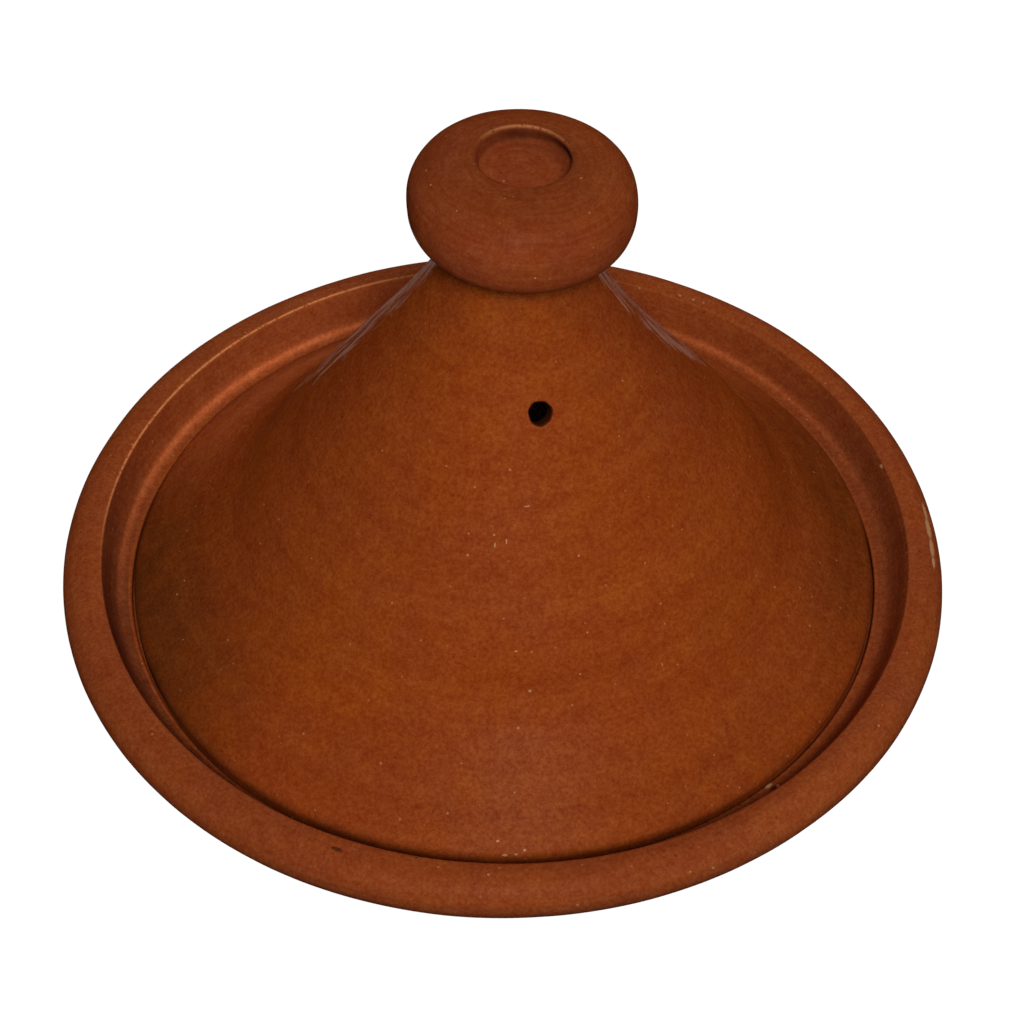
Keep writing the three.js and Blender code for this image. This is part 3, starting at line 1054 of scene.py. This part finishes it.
class Clay(Shader):
    """Burnished terracotta: mottled, finely grained and flecked, streaked round the pot, with its marks."""

    def __init__(self, name, look):
        super().__init__(bpy.data.materials.new(name))
        self.look = look
        self.place = self.add("TexCoord").outputs["Object"]
        self.patches = self.noise(PATCH, 4, 0.6)
        self.grain = self.noise(GRAIN, 3, 0.7)
        self.streaks = self.drawn_out(STREAK, 1.6, 3, 0.6)
        self.fleck = self.flecks()
        self.pit = self.pits()

    def trait(self, name):
        return self.add("Attribute", attribute_name=name).outputs["Fac"]

    def noise(self, size, detail=3, roughness=0.55, vector=None):
        """Noise from 0 to 1 with patches of about this size."""
        sockets = {
            "Vector": vector or self.place,
            "Scale": 1 / size,
            "Detail": detail,
            "Roughness": roughness,
        }
        return self.add("TexNoise", sockets).outputs[0]

    def drawn_out(self, across, round_pot, detail, roughness=0.55):
        """Noise drawn out round the pot: slow round it and quick across its courses."""
        flat = self.vector("MULTIPLY", {0: self.place, 1: (1, 1, 0)})
        heading = self.vector("NORMALIZE", {0: flat})
        slow = self.vector("SCALE", {0: heading, 3: round_pot})
        quick = self.maths("DIVIDE", self.trait("course"), across)
        rise = self.add("CombineXYZ", {"Z": quick}).outputs[0]
        return self.noise(1.0, detail, roughness, self.vector("ADD", {0: slow, 1: rise}))

    def cells(self, size):
        """Scattered cells: the distance to the middle of each, and its own random values."""
        cells = self.add("TexVoronoi", {"Vector": self.place, "Scale": 1 / size}, feature="F1")
        chances = self.add("SeparateColor", {0: cells.outputs["Color"]})
        return cells.outputs["Distance"], chances.outputs

    def flecks(self):
        """Pale flecks, of many sizes and strengths."""
        away, chance = self.cells(FLECK_CELL)
        inside = self.maths("LESS_THAN", away, self.ramp(chance[0], 0.4, 1.0, 0.0, 0.12))
        return self.maths("MULTIPLY", inside, self.ramp(chance[1], 0, 1, 0.08, 0.5))

    def pits(self):
        """Rare pits with soft edges."""
        away, chance = self.cells(PIT_CELL)
        beyond = self.maths("SUBTRACT", away, self.ramp(chance[0], 0.7, 1.0, 0.0, 0.16))
        return self.ramp(beyond, 0.0, -0.06)

    def mark(self, mark, ragged):
        """1 inside a mark and 0 outside it, with a ragged edge."""
        turn = math.atan2(mark.x, -mark.y)
        sockets = {
            "Vector": self.place,
            "Location": Vector((mark.x, mark.y, mark.z)) * MM,
            "Rotation": (0, 0, turn),
            "Scale": Vector((mark.length, mark.width, mark.width)) * MM,
        }
        local = self.add("Mapping", sockets, vector_type="TEXTURE").outputs[0]
        away = self.add("VectorMath", {0: local}, operation="LENGTH").outputs["Value"]
        return self.ramp(self.maths("ADD", away, ragged), 1.25, 0.6)

    def marks(self, tone):
        """1 on any of the piece's marks of one tone, or None if it has none."""
        grit = self.maths("SUBTRACT", self.noise(GRIT, 2), 0.5)
        ragged = self.maths("MULTIPLY", grit, 1.1)
        total = None
        for mark in self.look.marks:
            if mark.tone == tone:
                one = self.mark(mark, ragged)
                total = one if total is None else self.maths("MAXIMUM", total, one)
        return total

    def ground(self):
        """The clay's colour: mottled between two tones, with painted shade in some places and painted light
        in others.
        """
        clouds = self.ramp(self.noise(CLOUD, 2), 0.35, 0.65, 0, 0.45)
        tone = self.maths("ADD", clouds, self.ramp(self.patches, 0.3, 0.7, 0, 0.55))
        colour = self.blend(tone, self.look.ochre, self.look.red)
        # Painted shade towards the darker tone, where the shade mask is set.
        shade_share = self.ramp(self.patches, 0.3, 0.7, 0.8, 1.15)
        shade_share = self.maths("MULTIPLY", self.trait("painted_shade"), shade_share, clamp=True)
        colour = self.blend(shade_share, colour, self.look.smoky)
        # Painted light, where the light mask is set.
        return self.blend(self.trait("painted_light"), colour, PAINTED_LIGHT_CLAY)

    def shaded(self, colour):
        """A colour made lighter and darker by the fine patterns, and redder where it is darker."""
        light = self.vary(self.grain, self.look.grain)
        light = self.maths("MULTIPLY", light, self.vary(self.noise(MOTTLE, 3, 0.6), 0.07))
        light = self.maths("MULTIPLY", light, self.vary(self.noise(DUST, 1), 0.08, 0.3))
        light = self.maths("MULTIPLY", light, self.vary(self.streaks, self.look.brushed))
        light = self.maths("MULTIPLY", light, self.vary(self.drawn_out(BAND, 0.8, 2), 0.05))
        green = self.maths("POWER", light, 2.0)
        blue = self.maths("POWER", light, 2.6)
        lit = self.add("CombineColor", {0: light, 1: green, 2: blue}).outputs[0]
        return self.blend(1.0, colour, lit, "MULTIPLY")

    def over(self, colour, mask, share, other):
        """A colour with a share of another one over it where a mask is 1."""
        return self.blend(self.maths("MULTIPLY", mask, share), colour, other)

    def colour(self):
        """The clay's colour with its flecks, pits and marks, painted highlights and painted shadows."""
        colour = self.shaded(self.ground())
        colour = self.blend(self.fleck, colour, PALE_CLAY)
        colour = self.over(colour, self.pit, 0.45, DARK_CLAY)
        # Painted highlights in pale clay, broken up by noise.
        glint_breakup = self.ramp(self.noise(GLINT_BREAKUP, 3), 0.3, 0.5)
        colour = self.over(colour, self.trait("painted_highlight"), glint_breakup, HIGHLIGHT_CLAY)
        # Painted shadows in dark clay.
        shadow_mask = self.ramp(self.patches, 0.2, 0.6, 0.55, 1.0)
        shadow_mask = self.maths("MULTIPLY", self.trait("painted_shadow"), shadow_mask)
        colour = self.over(colour, shadow_mask, 0.8, DARK_CLAY)
        for tone, share, other in (("pale", 0.75, PALE_CLAY), ("dark", 0.7, DARK_CLAY)):
            mask = self.marks(tone)
            if mask is not None:
                colour = self.over(colour, mask, share, other)
        return colour

    def roughness(self):
        rough = self.ramp(self.patches, 0.3, 0.7, CLAY_ROUGHNESS - 0.05, CLAY_ROUGHNESS + 0.06)
        rough = self.maths("ADD", rough, self.maths("MULTIPLY", self.trait("raw"), 0.15))
        return self.maths("ADD", rough, self.ramp(self.grain, 0.3, 0.7, -0.04, 0.04), clamp=True)

    def bump(self):
        """The relief that is too fine for the mesh."""
        height = self.ramp(self.grain, 0.2, 0.8, -GRAIN_HEIGHT, GRAIN_HEIGHT)
        streaks = self.ramp(self.streaks, 0.2, 0.8, -STREAK_HEIGHT, STREAK_HEIGHT)
        height = self.maths("ADD", height, streaks)
        height = self.maths("SUBTRACT", height, self.maths("MULTIPLY", self.pit, PIT_DEPTH))
        height = self.maths("ADD", height, self.maths("MULTIPLY", self.fleck, FLECK_HEIGHT))
        return self.add("Bump", {"Height": height, "Distance": 1.0, "Strength": 1.0}).outputs[0]

    def coat(self):
        """How much the burnish shines: a satin seen squarely, and strokes of gloss at grazing angles."""
        facing = self.add("LayerWeight", {"Blend": 0.5}).outputs["Facing"]
        strokes = self.drawn_out(STROKE, 15, 4, 0.7)
        ragged = self.maths("MULTIPLY", self.maths("SUBTRACT", strokes, 0.5), 0.3)
        lack = self.maths("MULTIPLY", self.maths("SUBTRACT", 1.0, self.trait("gloss")), 0.24)
        reach = self.maths("SUBTRACT", self.maths("ADD", facing, ragged), lack)
        gloss = self.ramp(reach, 0.66, 0.7, 0.0, self.look.gloss)
        gloss = self.maths("MULTIPLY", gloss, self.ramp(facing, 0.66, 0.92, 1.0, 0.45))
        gloss = self.maths("MULTIPLY", gloss, self.ramp(strokes, 0.42, 0.58, 0.1, 1.0))
        satin = self.ramp(facing, 0.25, 0.6, self.look.satin, 0.0)
        satin = self.maths("MULTIPLY", satin, self.ramp(self.grain, 0.3, 0.7, 0.6, 1.4))
        return self.maths("ADD", gloss, satin)

    def material(self):
        bump = self.bump()
        bsdf = self.add("BsdfPrincipled", {
            "Base Color": self.colour(),
            "Roughness": self.roughness(),
            "Normal": bump,
            "Specular IOR Level": 0.0,
            "Coat Weight": self.coat(),
            "Coat Roughness": COAT_ROUGHNESS,
            "Coat IOR": COAT_IOR,
            "Coat Tint": COAT_TINT,
            "Coat Normal": bump,
        })
        self.add("OutputMaterial", {"Surface": bsdf.outputs[0]})
        return self.owner


# Camera, as fitted to the photograph
VIEW_TURN = math.radians(11.7)
VIEW_PITCH = math.radians(46.6)
CAMERA_PLACE = (-0.11903, -0.58959, 0.70733)
SENSOR_WIDTH = 36
LENS_LENGTHS = 2600 / 1024


def make_camera():
    data = bpy.data.cameras.new("camera")
    data.sensor_width = SENSOR_WIDTH
    data.lens = LENS_LENGTHS * SENSOR_WIDTH
    camera = bpy.data.objects.new("camera", data)
    camera.location = CAMERA_PLACE
    camera.rotation_euler = (math.pi / 2 - VIEW_PITCH, 0, -VIEW_TURN)
    bpy.context.scene.collection.objects.link(camera)
    bpy.context.scene.camera = camera


FLOOR_HALF = 5.0
FLOOR_DROP = 0.1 * MM
FLOOR_COLOUR = (0.22, 0.22, 0.22, 1)
BACKDROP_GLOW = 0.9
WORLD_LIGHT = 0.012
WHITE = (1, 1, 1, 1)


def make_floor():
    """A pale floor that is white where it is seen and takes the pot's soft shadow."""
    mesh = bpy.data.meshes.new("floor")
    corners = [(-1, -1), (1, -1), (1, 1), (-1, 1)]
    places = [(x * FLOOR_HALF, y * FLOOR_HALF, -FLOOR_DROP) for x, y in corners]
    mesh.from_pydata(places, (), [(0, 1, 2, 3)])
    floor = bpy.data.objects.new("floor", mesh)
    bpy.context.scene.collection.objects.link(floor)
    shader = Shader(bpy.data.materials.new("floor"))
    glow = shader.maths("MULTIPLY", shader.seen_directly(), BACKDROP_GLOW)
    lit = shader.add("BsdfDiffuse", {"Color": FLOOR_COLOUR}).outputs[0]
    white = shader.add("Emission", {"Strength": glow}).outputs[0]
    both = shader.add("AddShader", {0: lit, 1: white}).outputs[0]
    shader.add("OutputMaterial", {"Surface": both})
    mesh.materials.append(shader.owner)


def make_world():
    """White where it is seen, and a weak even light on the pot."""
    world = bpy.data.worlds.new("world")
    bpy.context.scene.world = world
    shader = Shader(world)
    strength = shader.ramp(shader.seen_directly(), 0.0, 1.0, WORLD_LIGHT, BACKDROP_GLOW)
    background = shader.add("Background", {"Color": WHITE, "Strength": strength}).outputs[0]
    shader.add("OutputWorld", {"Surface": background})


# A lamp's azimuth and elevation are in degrees, and its distance and size in metres
Lamp = namedtuple("Lamp", "name azimuth elevation distance size watts")

LAMPS = [
    Lamp("front", -7, 47, 2.5, 0.65, 53),
    Lamp("side", 120, 46, 2.5, 1.0, 9),
    Lamp("back", 180, 16, 2.5, 1.4, 18),
]


def make_lamp(lamp):
    """A square softbox aimed at the pot. Azimuth 0 is the vent's side, and 90 is to the right of it."""
    data = bpy.data.lights.new(lamp.name, "AREA")
    data.shape = "SQUARE"
    data.size = lamp.size
    data.energy = lamp.watts
    azimuth = math.radians(lamp.azimuth)
    elevation = math.radians(lamp.elevation)
    level = math.cos(elevation)
    away = Vector((math.sin(azimuth) * level, -math.cos(azimuth) * level, math.sin(elevation)))
    light = bpy.data.objects.new(lamp.name, data)
    light.location = Vector((0, 0, DISH_HEIGHT)) + away * lamp.distance
    light.rotation_euler = away.to_track_quat("Z", "Y").to_euler()
    light.visible_camera = False
    bpy.context.scene.collection.objects.link(light)


make_camera()
make_dish()
make_cone()
make_knob()
make_floor()
make_world()
for each in LAMPS:
    make_lamp(each)
bpy.context.scene.view_settings.view_transform = "Standard"
